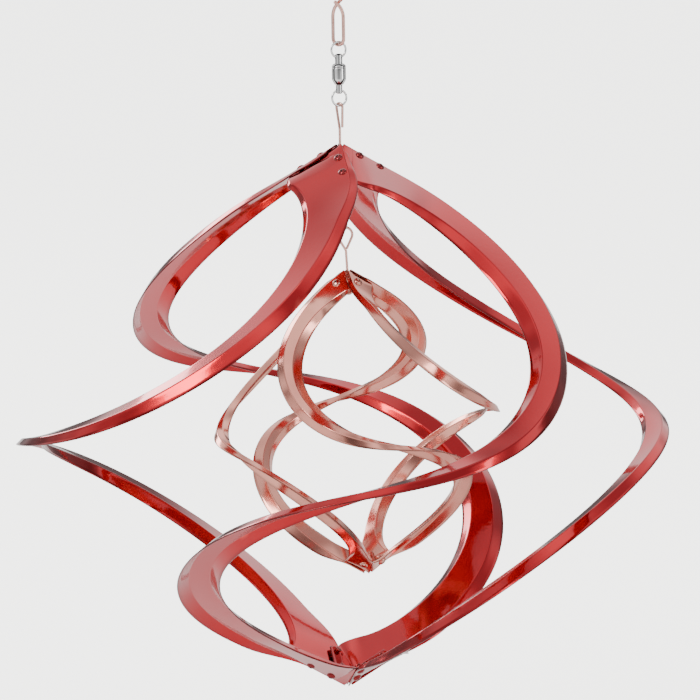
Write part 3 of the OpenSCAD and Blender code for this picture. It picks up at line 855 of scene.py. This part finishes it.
UPPER_STAND = Matrix.Translation((0, 0, node_bottom("upper_swivel_barrel")))
LOWER_STAND = LEAN @ Matrix.Translation((0, 0, LOWER_SWIVEL_Z)) @ turn_z(LOWER_SWIVEL_TURN)
for level, stand in (("upper", UPPER_STAND), ("lower", LOWER_STAND)):
    swivel = level + "_swivel_"
    points, faces = closed_lathe(barrel_profile(), stand)
    make_piece(swivel + "barrel_shell", points, faces, CHROME, level + "_barrel",
               [swivel + "barrel"])
    points, faces = closed_lathe(cap_profile(), stand)
    make_piece(swivel + "end_cap_dome", points, faces, CHROME, level + "_barrel",
               [swivel + "end_cap"])
    for end, ring_z in (("top", BARREL_H + UPPER_NECK + RING_R), ("bottom", -LOWER_NECK - RING_R)):
        points, faces = tube(ring_path(ring_z), RING_WIRE_R, closed=True)
        make_piece(f"{swivel}{end}_ring_wire", points, faces, RING_CHROME, f"{level}_{end}_ring",
                   [f"{swivel}{end}_ring"], stand)


# ---------------------------------------------------------------- CAD pieces that stay

INSIDE_OR_SMALL = ("_pin", "_race", "_balls", "_washer")
for node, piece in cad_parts.items():
    if not node.endswith(INSIDE_OR_SMALL):
        continue
    piece.data.materials.clear()
    piece.data.materials.append(STEEL if node.endswith(("_race", "_balls")) else CHROME)
    if node.endswith("_balls"):
        continue
    bevel = piece.modifiers.new("softened_edges", "BEVEL")
    bevel.width = 0.12 * MM
    bevel.segments = 3
    bevel.limit_method = "ANGLE"
    bevel.angle_limit = math.radians(35)


# ---------------------------------------------------------------- stage, light and camera

def area_light(name, place, target, size_x, size_y, power, colour=(1, 1, 1)):
    data = bpy.data.lights.new(name, "AREA")
    data.shape = "RECTANGLE"
    data.size = size_x
    data.size_y = size_y
    data.energy = power
    data.color = colour
    light = bpy.data.objects.new(name, data)
    light.location = place
    light.rotation_euler = (Vector(target) - Vector(place)).to_track_quat("-Z", "Y").to_euler()
    bpy.context.scene.collection.objects.link(light)


CENTRE = Vector((0, 0, (OUTER_MIDDLE_Z - OUTER.droop) * MM))
FLOOR_Z = CAD_BOX[0][2] - 0.06

floor_mesh = bpy.data.meshes.new("floor")
FLOOR_HALF = 30
floor_mesh.from_pydata(
    [(-FLOOR_HALF, -FLOOR_HALF, FLOOR_Z), (FLOOR_HALF, -FLOOR_HALF, FLOOR_Z),
     (FLOOR_HALF, FLOOR_HALF, FLOOR_Z), (-FLOOR_HALF, FLOOR_HALF, FLOOR_Z)],
    [], [(0, 1, 2, 3)])
floor = bpy.data.objects.new("floor", floor_mesh)
bpy.context.scene.collection.objects.link(floor)
floor_material, floor_tree, floor_shader = new_material("pale_floor")
floor_shader.inputs["Base Color"].default_value = (0.93, 0.93, 0.92, 1)
floor_shader.inputs["Roughness"].default_value = 0.7
floor_mesh.materials.append(floor_material)
seen = add(floor_tree, "ShaderNodeLightPath")
floor_shader.inputs["Emission Color"].default_value = (1, 1, 0.97, 1)
floor_glow = add(floor_tree, "ShaderNodeMath", operation="MULTIPLY")
floor_glow.inputs[1].default_value = 3
floor_tree.links.new(seen.outputs["Is Camera Ray"], floor_glow.inputs[0])
floor_tree.links.new(floor_glow.outputs["Value"], floor_shader.inputs["Emission Strength"])
under_side = add(floor_tree, "ShaderNodeNewGeometry")
see_through = add(floor_tree, "ShaderNodeBsdfTransparent")
floor_choice = add(floor_tree, "ShaderNodeMixShader")
floor_tree.links.new(under_side.outputs["Backfacing"], floor_choice.inputs["Fac"])
floor_tree.links.new(floor_shader.outputs["BSDF"], floor_choice.inputs[1])
floor_tree.links.new(see_through.outputs["BSDF"], floor_choice.inputs[2])
floor_tree.links.new(floor_choice.outputs["Shader"],
                     floor_tree.nodes["Material Output"].inputs["Surface"])

# Soft studio surroundings: a bright even sky overhead, and bright and dim patches round the
# horizon for the metal to mirror
world = bpy.data.worlds.new("studio")
world.use_nodes = True
bpy.context.scene.world = world
sky_tree = world.node_tree
direction = add(sky_tree, "ShaderNodeTexCoord")
patches = add(sky_tree, "ShaderNodeTexNoise")
patches.inputs["Scale"].default_value = 2.1
patches.inputs["Detail"].default_value = 1
patches.inputs["Roughness"].default_value = 0.4
sky_tree.links.new(direction.outputs["Generated"], patches.inputs["Vector"])
around = ramp(sky_tree, patches.outputs["Fac"],
              [(0.42, (0.13, 0.125, 0.125)), (0.52, (0.3, 0.3, 0.3)), (0.64, (1, 1, 0.98))])
overhead = ramp(sky_tree, patches.outputs["Fac"],
                [(0.4, (0.4, 0.4, 0.41)), (0.62, (1.15, 1.15, 1.14))])
height = add(sky_tree, "ShaderNodeSeparateXYZ")
sky_tree.links.new(direction.outputs["Generated"], height.inputs["Vector"])
upward = ramp(sky_tree, height.outputs["Z"], [(0.25, grey(0)), (0.6, grey(1))])
sky = add(sky_tree, "ShaderNodeMix", data_type="RGBA")
sky_tree.links.new(upward.outputs["Color"], sky.inputs["Factor"])
sky_tree.links.new(around.outputs["Color"], sky.inputs["A"])
sky_tree.links.new(overhead.outputs["Color"], sky.inputs["B"])
background = sky_tree.nodes["Background"]
sky_tree.links.new(sky.outputs["Result"], background.inputs["Color"])
background.inputs["Strength"].default_value = 1.35

area_light("key", (-1.5, -1.4, 1.3), CENTRE, 0.9, 0.9, 26, (1, 0.98, 0.96))
area_light("fill", (1.9, -1.0, 0.3), CENTRE, 0.35, 1.4, 7)
area_light("back", (-1.4, 1.7, 0.6), CENTRE, 0.9, 0.6, 12)

camera_data = bpy.data.cameras.new("camera")
camera = bpy.data.objects.new("camera", camera_data)
bpy.context.scene.collection.objects.link(camera)
bpy.context.scene.camera = camera
CAMERA_DOWN = 9.26
CAMERA_ROLL = 0.87
camera_data.sensor_width = 36
camera_data.lens = 211.2
camera_data.clip_start = 0.05
camera_data.clip_end = 200
camera.location = CENTRE + Vector((0.0037, -2.1967, 0.3982))
camera.rotation_mode = "QUATERNION"
tilt = Matrix.Rotation(math.radians(90 - CAMERA_DOWN), 4, "X")
roll = Matrix.Rotation(math.radians(-CAMERA_ROLL), 4, "Z")
camera.rotation_quaternion = (tilt @ roll).to_quaternion()
